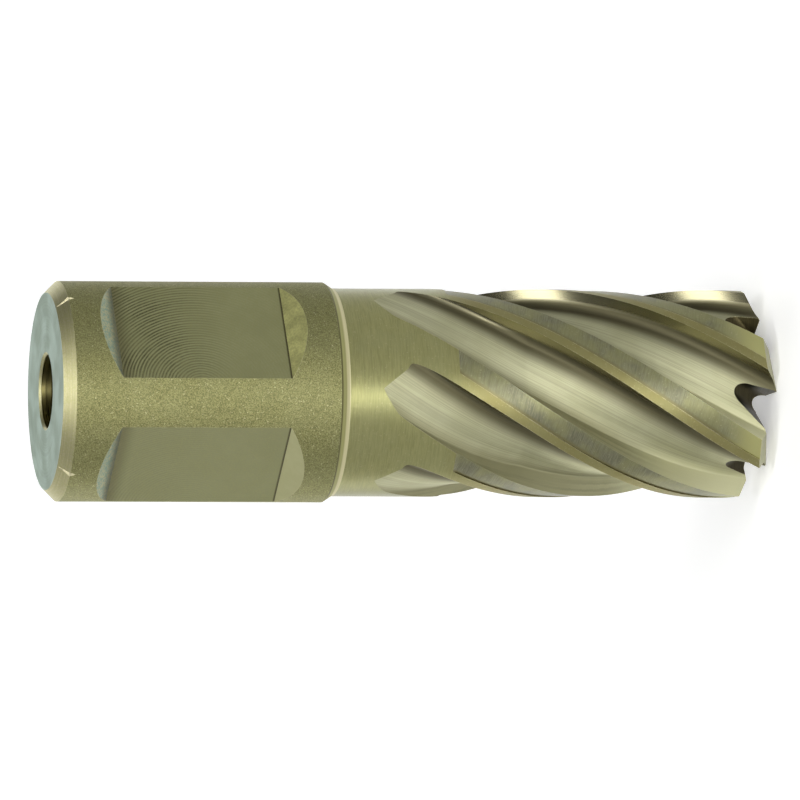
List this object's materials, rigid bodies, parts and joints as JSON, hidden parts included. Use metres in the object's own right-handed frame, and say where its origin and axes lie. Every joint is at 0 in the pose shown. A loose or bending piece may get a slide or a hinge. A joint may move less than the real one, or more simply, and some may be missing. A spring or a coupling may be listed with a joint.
{
  "type": "annular cutter",
  "caption": "Annular cutter for a magnetic drill: clamping shank with flats, pilot pin bore, slug cavity, right-hand helical flutes and saw-like end teeth.",
  "frame": {"origin": "on the cutter's axis, level with the tips of the pointed teeth", "axes": "+Z along the axis from the teeth to the shank, +X out of the first clamping flat, -Y out of the second"},
  "size_m": [0.019, 0.019, 0.063],
  "materials": {
    "coated_steel": "satin gold-toned steel, blasted on the shank and ground in the flutes"
  },
  "bodies": {
    "root": {"annular_cutter": "coated_steel"}
  },
  "joints": []
}
